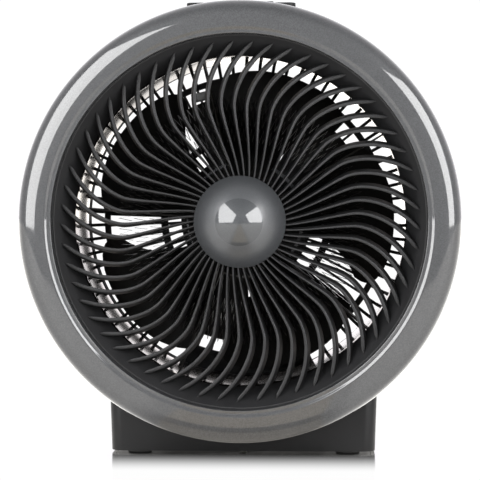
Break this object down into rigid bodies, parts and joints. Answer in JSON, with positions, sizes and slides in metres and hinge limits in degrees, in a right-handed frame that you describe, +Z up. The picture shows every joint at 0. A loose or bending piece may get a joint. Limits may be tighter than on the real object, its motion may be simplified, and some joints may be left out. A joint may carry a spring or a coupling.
{
  "type": "air circulator fan",
  "caption": "Round fan heater with a swept-fin front grille inside a deep metallic ring, a tilting drum head, an impeller behind heating ribbons and a low black cradle base",
  "frame": {"origin": "middle of the footprint at table level, with the head upright", "axes": "+Z up, the ring and grille face -Y, +X is to the right as seen from the front"},
  "size_m": [0.28, 0.1701, 0.2998],
  "materials": {
    "grey_metallic": "dark grey plastic with a fine metallic fleck under a gloss coat",
    "black_plastic": "fine-textured matte black",
    "impeller_black": "satin black moulded plastic",
    "black_gloss": "satin-gloss black",
    "polished_aluminium": "bright rolled sheet",
    "mica": "brown pressed mica sheet",
    "heating_alloy": "oxidised resistance ribbon",
    "zinc_steel": "bright zinc plate",
    "black_steel": "black oxide",
    "lamination_steel": "varnished laminations",
    "copper_wire": "enamelled copper wire",
    "switch_plastic": "dark grey phenolic",
    "nylon": "natural nylon",
    "black_rubber": "soft matte black",
    "amber_lens": "translucent amber"
  },
  "bodies": {
    "base": {"base_shell": "black_plastic", "base_cover": "black_plastic", "rubber_feet": "black_rubber", "pivot_pin_left": "zinc_steel", "pivot_pin_right": "zinc_steel", "friction_washer_left": "nylon", "friction_washer_right": "nylon", "tip_switch": "switch_plastic", "cord_grommet": "black_rubber"},
    "head": {"front_ring": "grey_metallic", "front_grille": "black_plastic", "centre_dome": "grey_metallic", "heat_shield": "polished_aluminium", "drum_housing": "black_plastic", "rear_grille": "black_plastic", "rear_grille_screws": "black_steel", "heater_hub": "mica", "mica_board_1": "mica", "mica_board_2": "mica", "mica_board_3": "mica", "mica_board_4": "mica", "mica_board_5": "mica", "heating_ribbon_1": "heating_alloy", "heating_ribbon_2": "heating_alloy", "heating_ribbon_3": "heating_alloy", "thermal_cutout": "switch_plastic", "front_end_bell": "zinc_steel", "rear_end_bell": "zinc_steel", "stator": "lamination_steel", "front_winding": "copper_wire", "rear_winding": "copper_wire", "control_panel": "black_plastic", "pilot_lens": "amber_lens", "rotary_switch": "switch_plastic", "thermostat": "switch_plastic"},
    "fan": {"impeller": "impeller_black", "impeller_nut": "zinc_steel", "motor_shaft": "zinc_steel", "rotor": "lamination_steel"},
    "function_control": {"function_knob": "black_gloss", "function_shaft": "zinc_steel"},
    "thermostat_control": {"thermostat_knob": "black_gloss", "thermostat_shaft": "zinc_steel"},
    "plunger": {"tip_plunger": "nylon"}
  },
  "joints": [
    {"name": "head_tilt", "type": "hinge", "parent": "base", "child": "head", "pos_m": [0, 0.0151, 0.042], "axis": [-1, 0, 0], "range_deg": [0, 20]},
    {"name": "fan_spin", "type": "hinge", "parent": "head", "child": "fan", "pos_m": [0, -0.0049, 0.1545], "axis": [0, -1, 0], "continuous": true},
    {"name": "function_turn", "type": "hinge", "parent": "head", "child": "function_control", "pos_m": [-0.017, 0.0071, 0.29063], "axis": [0, -0.0793, -0.9969], "range_deg": [0, 135]},
    {"name": "thermostat_turn", "type": "hinge", "parent": "head", "child": "thermostat_control", "pos_m": [0.017, 0.0071, 0.29063], "axis": [0, -0.0793, -0.9969], "range_deg": [0, 270]},
    {"name": "plunger_slide", "type": "slide", "parent": "base", "child": "plunger", "axis": [0, 0, -1], "range_m": [0, 0.0025], "stiffness_N_per_m": 100, "springref_m": 0.003}
  ]
}
